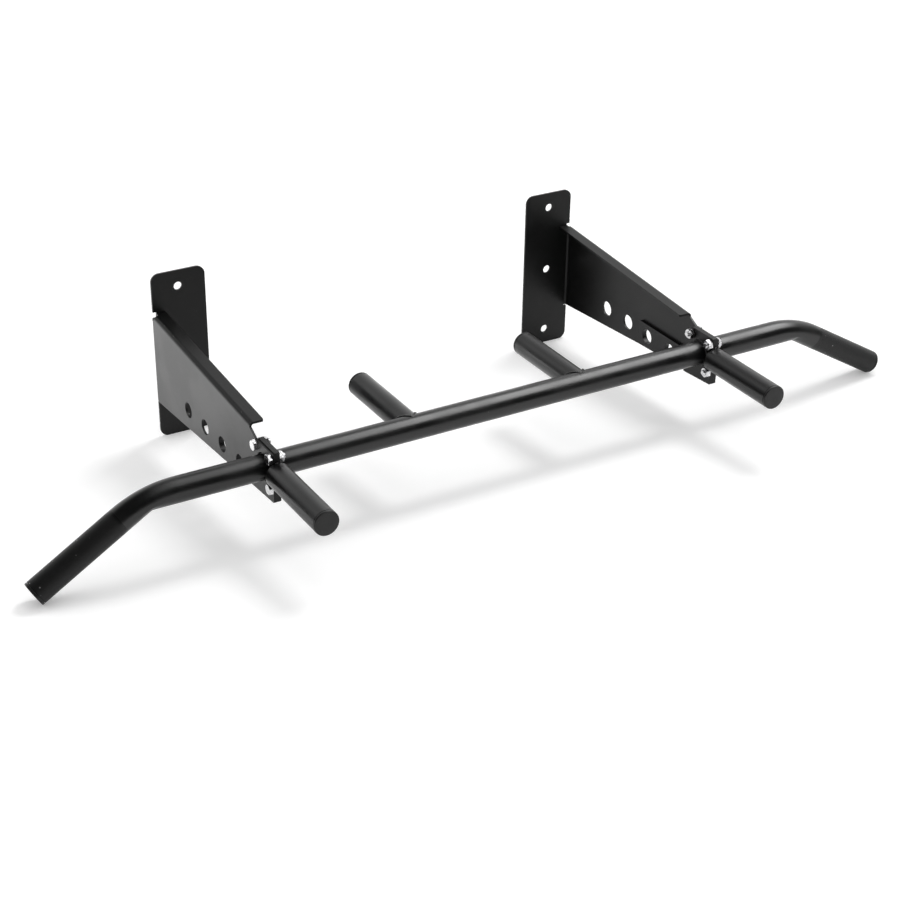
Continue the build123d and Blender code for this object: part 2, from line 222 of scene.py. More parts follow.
# Node trees --------------------------------------------------------------------------------------------
class Graph:
    """Adds and joins the nodes of one tree."""

    def __init__(self, tree: bpy.types.NodeTree) -> None:
        """Keeps the tree to work on."""
        self.tree = tree

    def node(self, kind: str, **settings: object) -> bpy.types.Node:
        """Adds a node and sets its properties.

        Args:
            kind: Blender's node type name.
            settings: Properties of the node.

        Returns:
            The new node.
        """
        made = self.tree.nodes.new(kind)
        for key, value in settings.items():
            setattr(made, key, value)
        return made

    def feed(self, entry: Socket, value: object) -> None:
        """Joins a socket to an entry, or sets the entry's own value.

        Args:
            entry: The input socket.
            value: An output socket, or a constant.
        """
        if isinstance(value, Socket):
            self.tree.links.new(value, entry)
        else:
            entry.default_value = value

    def math(self, operation: str, *values: object) -> Socket:
        """Works out a number.

        Args:
            operation: What the Math node does.
            values: One to three sockets or numbers.

        Returns:
            The result.
        """
        made = self.node("ShaderNodeMath", operation=operation)
        for entry, value in zip(made.inputs, values):
            self.feed(entry, value)
        return made.outputs[0]

    def vector(self, operation: str, *values: object) -> Socket:
        """Works out a vector, or a number where the operation gives one.

        Args:
            operation: What the Vector Math node does.
            values: One or two sockets or vectors.

        Returns:
            The result.
        """
        made = self.node("ShaderNodeVectorMath", operation=operation)
        for entry, value in zip(made.inputs, values):
            self.feed(entry, value)
        return made.outputs["Value" if operation in ("DOT_PRODUCT", "LENGTH") else "Vector"]

    def split(self, vector: Socket) -> list[Socket]:
        """Takes a vector apart.

        Args:
            vector: The vector.

        Returns:
            Its x, y and z.
        """
        made = self.node("ShaderNodeSeparateXYZ")
        self.feed(made.inputs[0], vector)
        return list(made.outputs)

    def spread(self, value: Socket, results: Span, values: Span = (0.0, 1.0)) -> Socket:
        """Maps a value smoothly from one range onto another.

        Args:
            value: The number to map.
            results: The result where the range starts and where it ends.
            values: Start and end of the value's range.

        Returns:
            The mapped number.
        """
        made = self.node("ShaderNodeMapRange", interpolation_type="SMOOTHSTEP")
        for entry, number in zip(made.inputs, (value, *values, *results)):
            self.feed(entry, number)
        return made.outputs[0]

    def blend(self, factor: object, first: object, second: object) -> Socket:
        """Mixes two colours.

        Args:
            factor: How much of the second shows, from 0 to 1.
            first: The colour at factor 0.
            second: The colour at factor 1.

        Returns:
            The mixed colour.
        """
        made = self.node("ShaderNodeMix", data_type="RGBA")
        for entry, value in ((0, factor), (6, first), (7, second)):
            self.feed(made.inputs[entry], value)
        return made.outputs[2]

    def noise(self, place: Socket, scale: object, detail: float, rough: float = 0.5) -> Socket:
        """Fractal noise from 0 to 1.

        Args:
            place: The coordinates.
            scale: Lumps for each metre.
            detail: Octaves.
            rough: Weight of the finer octaves.

        Returns:
            The noise value.
        """
        made = self.node("ShaderNodeTexNoise")
        self.feed(made.inputs["Vector"], place)
        self.feed(made.inputs["Scale"], scale)
        made.inputs["Detail"].default_value = detail
        made.inputs["Roughness"].default_value = rough
        return made.outputs[0]


def new_group(name: str, inputs: Inputs, outputs: list[str]) -> tuple[Graph, Sockets, Sockets]:
    """Starts a shader node group.

    Args:
        name: The group's name.
        inputs: Name to (socket kind, default value).
        outputs: Names of the numbers that it gives.

    Returns:
        The group's graph, its inner input sockets by name, and its inner output sockets by name.
    """
    tree = bpy.data.node_groups.new(name, "ShaderNodeTree")
    for label, (kind, default) in inputs.items():
        made = tree.interface.new_socket(label, in_out="INPUT", socket_type=f"NodeSocket{kind}")
        made.default_value = default
    for label in outputs:
        tree.interface.new_socket(label, in_out="OUTPUT", socket_type="NodeSocketFloat")
    graph = Graph(tree)
    entry, leave = graph.node("NodeGroupInput"), graph.node("NodeGroupOutput")
    return graph, dict(entry.outputs.items()), dict(leave.inputs.items())


def coat_grain() -> bpy.types.NodeTree:
    """Powder coat's orange peel, the slow drift of its tone, and faint handling smudges.

    The height is mostly the peel's noise with some of the finer grit's. Tone is the grit's noise and Smudge
    the drift's, each with its contrast raised.

    Returns:
        The group, whose outputs are Height, Tone and Smudge, all from 0 to 1.
    """
    inputs = {
        "Vector": ("Vector", (0, 0, 0)),
        "Peel": ("Float", 480.0),
        "Grit": ("Float", 3200.0),
        "Drift": ("Float", 14.0),
    }
    graph, give, take = new_group("coat_grain", inputs, ["Height", "Tone", "Smudge"])
    peel = graph.noise(give["Vector"], give["Peel"], 2.0)
    grit = graph.noise(give["Vector"], give["Grit"], 1.0)
    drift = graph.noise(give["Vector"], give["Drift"], 4.0, 0.6)
    peel_share = 0.7
    coarse = graph.math("MULTIPLY", peel, peel_share)
    fine = graph.math("MULTIPLY", grit, 1 - peel_share)
    graph.feed(take["Height"], graph.math("ADD", coarse, fine))
    graph.feed(take["Tone"], graph.spread(grit, (0.0, 1.0), (0.3, 0.7)))
    graph.feed(take["Smudge"], graph.spread(drift, (0.0, 1.0), (0.35, 0.65)))
    return graph.tree


def dust_specks() -> bpy.types.NodeTree:
    """Sparse round specks, one at most in each cell of a random pattern.

    A cell has a speck where its first random number is under the share. The speck's radius is its second
    random number times the size.

    Returns:
        The group, whose output Mask is 1 on a speck.
    """
    inputs = {
        "Vector": ("Vector", (0, 0, 0)),
        "Spacing": ("Float", 160.0),
        "Size": ("Float", 0.1),
        "Share": ("Float", 0.3),
    }
    graph, give, take = new_group("dust_specks", inputs, ["Mask"])
    cells = graph.node("ShaderNodeTexVoronoi")
    graph.feed(cells.inputs["Vector"], give["Vector"])
    graph.feed(cells.inputs["Scale"], give["Spacing"])
    chance = graph.node("ShaderNodeSeparateColor")
    graph.feed(chance.inputs[0], cells.outputs["Color"])
    chosen = graph.math("LESS_THAN", chance.outputs[0], give["Share"])
    limit = graph.math("MULTIPLY", give["Size"], chance.outputs[1])
    near = graph.math("LESS_THAN", cells.outputs["Distance"], limit)
    graph.feed(take["Mask"], graph.math("MULTIPLY", chosen, near))
    return graph.tree


def diamond_knurl() -> bpy.types.NodeTree:
    """Diamond knurling on the drooping end of either outer bar, on both at once through the size of x.

    Two families of helical grooves cross along the end's axis and round it, and the height is the lower of
    their two triangle waves. The mask fades in where the knurling starts.

    Returns:
        The group, whose outputs are Height and Mask, which is 1 where the bar is knurled.
    """
    inputs = {
        "Vector": ("Vector", (0, 0, 0)),
        "Corner": ("Vector", (0, 0, 0)),
        "Axis": ("Vector", (1, 0, 0)),
        "First": ("Vector", (0, 1, 0)),
        "Second": ("Vector", (0, 0, 1)),
        "Start": ("Float", 50 * MM),
        "Fade": ("Float", 7 * MM),
        "Rows Round": ("Float", 72.0),
        "Pitch": ("Float", 1.6 * MM),
    }
    graph, give, take = new_group("diamond_knurl", inputs, ["Height", "Mask"])
    x, y, z = graph.split(give["Vector"])
    joined = graph.node("ShaderNodeCombineXYZ")
    for entry, value in zip(joined.inputs, (graph.math("ABSOLUTE", x), y, z)):
        graph.feed(entry, value)
    place = graph.vector("SUBTRACT", joined.outputs[0], give["Corner"])
    directions = (give["Axis"], give["First"], give["Second"])
    along, first, second = (graph.vector("DOT_PRODUCT", place, direction) for direction in directions)
    turns = graph.math("MULTIPLY", graph.math("ARCTAN2", second, first), 1 / TURN)
    rows = graph.math("MULTIPLY", turns, give["Rows Round"])
    steps = graph.math("DIVIDE", along, give["Pitch"])
    ridges = [graph.math("PINGPONG", graph.math(sign, rows, steps), 0.5) for sign in ("ADD", "SUBTRACT")]
    graph.feed(take["Height"], graph.math("MULTIPLY", graph.math("MINIMUM", *ridges), 2.0))
    start = graph.math("SUBTRACT", along, give["Start"])
    graph.feed(take["Mask"], graph.spread(start, (0.0, 1.0), (0.0, give["Fade"])))
    return graph.tree


@dataclass(frozen=True)
class Effects:
    """The node groups that the materials share."""

    grain: bpy.types.NodeTree
    specks: bpy.types.NodeTree
    knurl: bpy.types.NodeTree


def grey(level: float) -> tuple[float, float, float, float]:
    """A neutral colour."""
    return (level, level, level, 1.0)


@dataclass(frozen=True)
class Dust:
    """Specks of dust.

    The spacing is how many cells they lie in for each metre, the share is that of the cells with a speck,
    and the size is the largest speck's radius as a share of a cell.
    """

    spacing: float = 160.0
    share: float = 0.12
    size: float = 0.09
    tone: float = 0.16


class Surface:
    """One material in the making: its graph, its Principled shader and its Object coordinates."""

    def __init__(self, name: str) -> None:
        """Makes the material with an empty Principled shader.

        Args:
            name: The material's name.
        """
        self.material = bpy.data.materials.new(name)
        self.material.use_nodes = True
        self.graph = Graph(self.material.node_tree)
        self.shader = self.material.node_tree.nodes["Principled BSDF"]
        self.place = self.graph.node("ShaderNodeTexCoord").outputs["Object"]

    def group(self, tree: bpy.types.NodeTree, **values: object) -> bpy.types.Node:
        """Places a shared effect on the Object coordinates.

        Args:
            tree: The effect's node group.
            values: Its other inputs, with underscores for the spaces in their names.

        Returns:
            The group's node.
        """
        made = self.graph.node("ShaderNodeGroup", node_tree=tree)
        self.graph.feed(made.inputs["Vector"], self.place)
        for key, value in values.items():
            self.graph.feed(made.inputs[key.replace("_", " ")], value)
        return made

    def set(self, **values: object) -> None:
        """Sets or joins the shader's sockets, with underscores for the spaces in their names."""
        for key, value in values.items():
            self.graph.feed(self.shader.inputs[key.replace("_", " ")], value)

    def relief(self, height: Socket, depth: float, edge: float = 0.0) -> None:
        """Gives the shader a bumped normal, over edges that look rounded by a small radius.

        Args:
            height: The height from 0 to 1.
            depth: Metres of relief at full height.
            edge: Radius of the soft edges, or none at zero.
        """
        bump = self.graph.node("ShaderNodeBump")
        self.graph.feed(bump.inputs["Height"], height)
        self.graph.feed(bump.inputs["Distance"], depth)
        if edge:
            soft = self.graph.node("ShaderNodeBevel", samples=4)
            self.graph.feed(soft.inputs["Radius"], edge)
            self.graph.feed(bump.inputs["Normal"], soft.outputs[0])
        self.set(Normal=bump.outputs[0])

    def speckled(self, colour: Socket, effects: Effects, dust: Dust) -> Socket:
        """Lays specks of dust over a colour.

        Args:
            colour: The finish's own colour.
            effects: The shared node groups.
            dust: The specks.

        Returns:
            The colour with the specks on it.
        """
        specks = self.group(effects.specks, Spacing=dust.spacing, Share=dust.share, Size=dust.size)
        return self.graph.blend(specks.outputs["Mask"], colour, grey(dust.tone))


def either_way(middle: float, spread: float) -> Span:
    """The two values that lie the spread below and above the middle."""
    return (middle - spread, middle + spread)


@dataclass(frozen=True)
class PowderCoat:
    """Satin black powder coat on steel."""

    name: str
    tone: float = 0.0035
    tone_spread: float = 0.35
    roughness: float = 0.33
    roughness_spread: float = 0.05
    specular: float = 0.5
    peel_depth: float = 0.06 * MM
    edge: float = 0.4 * MM
    dust: Dust = Dust()

    def start(self, effects: Effects) -> tuple[Surface, Socket, Socket]:
        """Lays down the coat's colour and gloss.

        Args:
            effects: The shared node groups.

        Returns:
            The surface, the grain's height and the roughness, both still to be used.
        """
        surface = Surface(self.name)
        graph = surface.graph
        grain = surface.group(effects.grain)
        dark, light = (grey(self.tone * share) for share in either_way(1, self.tone_spread))
        colour = graph.blend(grain.outputs["Tone"], dark, light)
        colour = surface.speckled(colour, effects, self.dust)
        surface.set(Base_Color=colour, Specular_IOR_Level=self.specular)
        rough = graph.spread(grain.outputs["Smudge"], either_way(self.roughness, self.roughness_spread))
        return surface, grain.outputs["Height"], rough

    def material(self, effects: Effects) -> bpy.types.Material:
        """Makes the finished coat.

        Args:
            effects: The shared node groups.

        Returns:
            The material.
        """
        surface, height, rough = self.start(effects)
        surface.set(Roughness=rough)
        surface.relief(height, self.peel_depth, edge=self.edge)
        return surface.material


@dataclass(frozen=True, kw_only=True)
class KnurledCoat(PowderCoat):
    """The same coat over knurling, which holds back its gloss and catches dust."""

    name: str = "powder_coat_knurled_end"
    specular: float = 0.32
    dust: Dust = Dust(share=0.35, size=0.16)
    knurl_depth: float = 0.12 * MM
    knurl_roughness: float = 0.5
    corner: Points
    axis: Points
    start_along: float

    def material(self, effects: Effects) -> bpy.types.Material:
        """Makes the finished coat.

        Args:
            effects: The shared node groups.

        Returns:
            The material.
        """
        surface, height, rough = self.start(effects)
        graph = surface.graph
        first, second = frame_round(self.axis)
        knurl = surface.group(effects.knurl, Corner=self.corner, Axis=self.axis, First=first, Second=second)
        graph.feed(knurl.inputs["Start"], self.start_along)
        mask = knurl.outputs["Mask"]
        mixed = graph.node("ShaderNodeMix")
        for entry, value in ((0, mask), (2, rough), (3, self.knurl_roughness)):
            graph.feed(mixed.inputs[entry], value)
        surface.set(Roughness=mixed.outputs[0])
        diamonds = graph.math("MULTIPLY", knurl.outputs["Height"], mask)
        grain = graph.math("MULTIPLY", height, self.peel_depth / self.knurl_depth)
        surface.relief(graph.math("ADD", diamonds, grain), self.knurl_depth, edge=self.edge)
        return surface.material


@dataclass(frozen=True)
class WeldCoat(PowderCoat):
    """Powder coat over a weld, a little glossier."""

    name: str = "powder_coat_on_weld"
    roughness: float = 0.3
    edge: float = 0.0
    dust: Dust = Dust(share=0.0)


@dataclass(frozen=True)
class MouldedPlastic:
    """Matte black moulded plastic with a fine spark-eroded grain."""

    name: str = "moulded_black_plastic"
    tone: float = 0.010
    tone_spread: float = 0.3
    roughness: float = 0.38
    roughness_spread: float = 0.06
    specular: float = 0.3
    grain_depth: float = 0.04 * MM
    dust: Dust = Dust(spacing=420.0, share=0.25, size=0.12, tone=0.14)

    def material(self, effects: Effects) -> bpy.types.Material:
        """Makes the finished plastic.

        Args:
            effects: The shared node groups.

        Returns:
            The material.
        """
        surface = Surface(self.name)
        graph = surface.graph
        grain = surface.group(effects.grain, Peel=1800.0, Grit=5200.0, Drift=60.0)
        dark, light = (grey(self.tone * share) for share in either_way(1, self.tone_spread))
        colour = graph.blend(grain.outputs["Tone"], dark, light)
        rough = graph.spread(grain.outputs["Smudge"], either_way(self.roughness, self.roughness_spread))
        surface.set(Base_Color=surface.speckled(colour, effects, self.dust), Roughness=rough)
        surface.set(Specular_IOR_Level=self.specular)
        surface.relief(grain.outputs["Height"], self.grain_depth)
        return surface.material


@dataclass(frozen=True)
class ZincPlate:
    """Bright zinc plating under a faint cloudy bloom, which is duller, darker and a trace bluer."""

    name: str = "bright_zinc_plate"
    bright: tuple[float, float, float, float] = (0.72, 0.72, 0.72, 1.0)
    bloomed: tuple[float, float, float, float] = (0.576, 0.576, 0.5904, 1.0)
    roughness: float = 0.2
    bloom_roughness: float = 0.32
    grain_depth: float = 0.03 * MM

    def material(self, effects: Effects) -> bpy.types.Material:
        """Makes the finished plating.

        Args:
            effects: The shared node groups.

        Returns:
            The material.
        """
        surface = Surface(self.name)
        graph = surface.graph
        grain = surface.group(effects.grain, Peel=1500.0, Grit=6000.0, Drift=260.0)
        clear = grain.outputs["Smudge"]
        rough = graph.spread(clear, (self.bloom_roughness, self.roughness))
        surface.set(Base_Color=graph.blend(clear, self.bloomed, self.bright), Roughness=rough, Metallic=1.0)
        surface.relief(grain.outputs["Height"], self.grain_depth)
        return surface.material


@dataclass(frozen=True)
class Finishes:
    """Every finish of the object, by what it covers."""

    brackets: bpy.types.Material
    tubes: bpy.types.Material
    knurled: bpy.types.Material
    plastic: bpy.types.Material
    zinc: bpy.types.Material
    welds: bpy.types.Material


def dress(node: str, material: bpy.types.Material) -> None:
    """Gives a CAD node its material.

    Args:
        node: The node's name.
        material: What it is made of.
    """
    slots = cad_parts[node].data.materials
    slots.clear()
    slots.append(material)
    log.info("dressed %s with %s", node, material.name)


def fit(piece: bpy.types.Object, material: bpy.types.Material, node: str) -> None:
    """Gives a new piece its material, and makes it stand for a CAD node.

    Args:
        piece: The new piece.
        material: What it is made of.
        node: The CAD node that it replaces.
    """
    piece.data.materials.append(material)
    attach(piece, BODY)
    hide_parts(node)
    log.info("made %s in place of %s, %d faces", piece.name, node, len(piece.data.polygons))


def corners(node: str) -> tuple[Points, Points]:
    """The lowest and the highest corner of a CAD node's box."""
    low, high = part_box(node)
    return np.array(low), np.array(high)


# Sub-assemblies ----------------------------------------------------------------------------------------
@dataclass
class EndCap:
    """A push-in cap on the end of a tube. The chamfer is the plain one of its CAD node."""

    node: str
    axis: Points
    radius: float = TUBE_RADIUS
    head: float = 4 * MM
    chamfer: float = 0.8 * MM
    edge: float = 1.2 * MM
    lip: float = 0.21 * MM
    seam: float = 0.7 * MM
    seam_depth: float = 1.4 * MM
    stem: float = TUBE_RADIUS - 2.2 * MM
    depth: float = 3 * MM
    segments: int = 96
    edge_points: int = 7
    lip_points: int = 4

    def seat(self) -> Points:
        """The middle of the right-hand cap's seat, from its node's box.

        In each direction the head reaches furthest at one of its two rims: the rim's height times the
        axis's part in that direction, plus its radius times what is left of a unit length.

        Returns:
            The point where the axis meets the tube's end.
        """
        low, high = corners(self.node)
        rims = ((self.head - self.chamfer, self.radius), (self.head, self.radius - self.chamfer))
        along, aside = np.abs(self.axis), np.sqrt(1 - self.axis**2)
        reach = np.max([height * along + radius * aside for height, radius in rims], axis=0)
        seat = np.where(self.axis >= 0, high, low) - np.sign(self.axis) * reach
        square = np.isclose(self.axis, 0)
        seat[square] = (0.5 * (low + high))[square]
        if square[0]:
            seat[0] = high[0] - self.radius
        return seat

    def profile(self) -> Points:
        """The cap's outline, from the middle of its face to the middle of its stem's end.

        It runs over a rounded edge and a rounded lip into a square groove, the seam between head and tube.

        Returns:
            Rows of (radius, height along the axis).
        """
        face = [[0, self.head], [self.radius / 2, self.head]]
        edge = arc((self.radius - self.edge, self.head - self.edge), self.edge, 90, 0, self.edge_points)
        lip = arc((self.radius - self.lip, self.seam + self.lip), self.lip, 0, -90, self.lip_points)
        groove = [[self.radius - self.seam_depth, self.seam], [self.radius - self.seam_depth, 0]]
        stem = [[self.stem, 0], [self.stem, -self.depth], [0, -self.depth]]
        return np.concatenate([face, edge, lip, groove, stem])

    def build(self, name: str, material: bpy.types.Material) -> None:
        """Makes both caps of the node.

        Args:
            name: The piece's name.
            material: The plastic.
        """
        skin = Skin()
        for side in Side:
            skin.add(turned(self.profile(), self.seat() * side.flip, self.axis * side.flip, self.segments))
        fit(skin.to_object(name), material, self.node)


@dataclass
class OuterTube:
    """An outer bar section: a tube bent down in a press, which folded its inner side into a crease.

    The corner is where its two straight lines would meet, and the knurling starts past it. The flank is the
    range, as the cosine of the angle from the bend's inside, over which the fold grows from none to full.
    The bend's steps crowd towards the fold.
    """

    axis: Points
    end: Points
    corner: Points
    bend_radius: float = 150 * MM
    radius: float = TUBE_RADIUS
    wall: float = 2 * MM
    fold_radius: float = 1.2 * MM
    flank: Span = (0.0, 0.75)
    knurl_start: float = 41 * MM
    segments: int = 96
    steps: int = 12
    bend_steps: int = 49
    crowding: float = 1.5

    def line(self) -> tuple[Points, Points, Points]:
        """The tube's middle line: straight to the bend, round it, and straight to the end.

        With the bend's middle at angle zero, the line's points there are the bend's centre, less the radius
        times the inward direction at that angle. The fold's share at an angle is how much further from
        the centre the two straight lines lie than the arc: one over the cosine of the angle left to the
        bend's end, less one. A small radius under a root rounds the fold.

        Returns:
            The points, the directions to the inside of the bend, and the fold's share at each.
        """
        ahead = np.array([1.0, 0.0, 0.0])
        half = np.arccos(ahead @ self.axis) / 2
        inside, onward = unit(self.axis - ahead), unit(self.axis + ahead)
        centre = self.corner + inside * self.bend_radius / cos(half)
        step = np.linspace(-1, 1, self.bend_steps)
        angle = (half * np.sign(step) * np.abs(step) ** self.crowding)[:, None]
        inward = np.cos(angle) * inside - np.sin(angle) * onward
        left = half - np.hypot(angle[:, 0], self.fold_radius / self.bend_radius)
        share = 1 / np.cos(np.clip(left, 0, None)) - 1
        bend = centre - self.bend_radius * inward
        start = np.array([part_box("right_outer_bar")[0].x, *self.corner[1:]])
        knurl = self.corner + self.knurl_start * self.axis
        run = np.linspace(0, 1, self.steps, endpoint=False)[:, None]
        level = start + (bend[0] - start) * run
        droop = np.concatenate([self.end + (knurl - self.end) * (1 - run), [self.end]])
        beyond = (len(level), len(droop))
        inward = np.pad(inward, (beyond, (0, 0)), mode="edge")
        return np.concatenate([level, bend, droop]), inward, np.pad(share, beyond)

    def shell(self, radius: float) -> Points:
        """One wall of the tube.

        A point is the middle line's point, plus the radius times the inward direction turned by its angle
        round the line. Then it moves away from the bend's centre by the fold's share of its distance from
        that centre. The inner side moves by all of it, the flanks by less and the outer side by none.

        Args:
            radius: The wall's radius.

        Returns:
            A grid of points, one row for each angle round and one column for each point of the line.
        """
        points, inward, share = self.line()
        aside = unit(np.cross(inward[0], inward[-1]))
        angle = np.linspace(0, TURN, self.segments, endpoint=False)[:, None, None]
        low, high = self.flank
        weight = np.clip((np.cos(angle) - low) / (high - low), 0, 1)
        weight = weight**2 * (3 - 2 * weight)
        distance = self.bend_radius - radius * np.cos(angle)
        ring = points + radius * (np.cos(angle) * inward + np.sin(angle) * aside)
        return ring - inward * weight * distance * share[:, None]

    def build(self, side: Side, coat: bpy.types.Material, knurled: bpy.types.Material) -> None:
        """Makes the tube of one side.

        Args:
            side: The half of the bar.
            coat: The tube's finish.
            knurled: The finish of its drooping end, past the start of the knurling.
        """
        walls = [self.shell(self.radius), self.shell(self.radius - self.wall)[:, ::-1]]
        skin = Skin()
        skin.add(np.concatenate(walls, axis=1) * side.flip, round_columns=True)
        piece = skin.to_object(f"{side.label}_bent_tube", sharp_angle=45)
        fit(piece, coat, f"{side.label}_outer_bar")
        piece.data.materials.append(knurled)
        faces = piece.data.polygons
        middles = np.empty(3 * len(faces))
        faces.foreach_get("center", middles)
        along = (middles.reshape(-1, 3) * side.flip - self.corner) @ self.axis
        faces.foreach_set("material_index", (along > self.knurl_start).astype(np.int32))


@dataclass
class Fasteners:
    """The hexagon bolts and nuts of the two bolted stacks."""

    across_flats: float = 13 * MM
    crown: float = 0.9 * MM
    crown_inset: float = 0.2 * MM
    foot: float = 0.15 * MM
    foot_inset: float = 0.5 * MM
    nut: float = 6.5 * MM
    bolt_radius: float = 4 * MM
    pitch: float = 1.25 * MM
    thread_depth: float = 0.5 * MM
    in_nut: float = 1.5 * MM
    beyond_nut: float = 3 * MM
    tip: float = 0.9 * MM
    segments: int = 96
    crown_points: int = 7
    thread_segments: int = 48
    steps_a_pitch: int = 10
    sharp_angle: float = 28.0
    turns: np.random.Generator = field(default_factory=lambda: np.random.default_rng(8))

    @property
    def corner(self) -> float:
        """Half the width across corners."""
        return self.across_flats / 2 / cos(pi / 6)

    def places(self) -> list[Points]:
        """The four bolt axes of the right stack, as points in the plane x = 0, from the nuts' box.

        Each nut has two of its corners level with its axis, and two of its flats above and below it.

        Returns:
            The four points.
        """
        low, high = corners("nuts")
        middle, half = 0.5 * (low + high), 0.5 * (high - low)
        half -= np.array([half[0], self.corner, self.across_flats / 2])
        middle[0] = 0
        return [middle + half * np.array([0, y, z]) for y in (-1, 1) for z in (-1, 1)]

    def outline(self, height: float) -> tuple[Points, Points]:
        """The turned outline of a block, with a narrowed foot and a free end that is a shallow cone.

        Args:
            height: The block's height.

        Returns:
            Heights along the axis and their radii.
        """
        rim = self.across_flats / 2 - self.crown_inset
        step = np.linspace(0, 1, self.crown_points)
        heights = np.concatenate([[0, 0, self.foot], height - self.crown * (1 - step), [height]])
        cone = self.corner + (rim - self.corner) * step
        return heights, np.concatenate([[0, self.corner - self.foot_inset, self.corner], cone, [0]])

    def hexagon(self, height: float, turn: float) -> Points:
        """A hexagon bar cut by the block's turned outline.

        At each angle the radius is the smaller of the hexagon's own, half the width across flats over
        the cosine of the angle from the nearest flat's middle, and the outline's.

        Args:
            height: The block's height.
            turn: Angle of one flat's middle.

        Returns:
            A grid of (height, first, second) with one row for each angle.
        """
        heights, radii = self.outline(height)
        angle = np.linspace(0, TURN, self.segments, endpoint=False)[:, None]
        from_flat = (angle + pi / 6) % (pi / 3) - pi / 6
        radius = np.minimum(self.across_flats / 2 / np.cos(from_flat), radii)
        heights = np.broadcast_to(heights, radius.shape)
        return np.stack([heights, radius * np.cos(angle + turn), radius * np.sin(angle + turn)], axis=2)

    def thread(self, start: float, end: float) -> Points:
        """A threaded stub with a coned tip: along a helix the radius falls by a triangle wave.

        Args:
            start: Height where it leaves the nut.
            end: Height of its tip.

        Returns:
            A grid of (height, first, second).
        """
        angle = np.linspace(0, TURN, self.thread_segments, endpoint=False)[:, None]
        height = np.linspace(start, end, int(abs(end - start) / self.pitch * self.steps_a_pitch))[None, :]
        wave = np.abs(2 * ((height / self.pitch - angle / TURN) % 1) - 1)
        cone = self.bolt_radius - self.tip + np.abs(end - height)
        radius = np.minimum(self.bolt_radius - self.thread_depth * wave, cone)
        radius[:, [0, -1]] = 0
        height = np.broadcast_to(height, radius.shape)
        return np.stack([height, radius * np.cos(angle), radius * np.sin(angle)], axis=2)

    def stand(self, grid: Points, x: float, place: Points, side: Side) -> Points:
        """Stands a grid of (height, first, second) on a bolt's axis at x, on either side."""
        return (grid + np.array([x, 0, 0]) + place) * side.flip

    def build(self, material: bpy.types.Material) -> None:
        """Makes the bolts and nuts of both sides.

        Args:
            material: The zinc plate.
        """
        outer, inner = corners("right_bracket")[1][0], corners("nuts")[1][0]
        head, nut_end = corners("bolts")[1][0] - outer, inner - self.nut
        inwards = np.array([-1, 1, 1])
        bolts, nuts = Skin(), Skin()
        for side in Side:
            for place in self.places():
                block = self.hexagon(head, self.turns.uniform(0, pi / 3))
                bolts.add(self.stand(block, outer, place, side))
                stub = self.thread(nut_end + self.in_nut, nut_end - self.beyond_nut)
                bolts.add(self.stand(stub, 0, place, side))
                block = self.hexagon(self.nut, self.turns.uniform(0, pi / 3)) * inwards
                nuts.add(self.stand(block, inner, place, side))
        fit(bolts.to_object("hexagon_bolts", self.sharp_angle), material, "bolts")
        fit(nuts.to_object("hexagon_nuts", self.sharp_angle), material, "nuts")


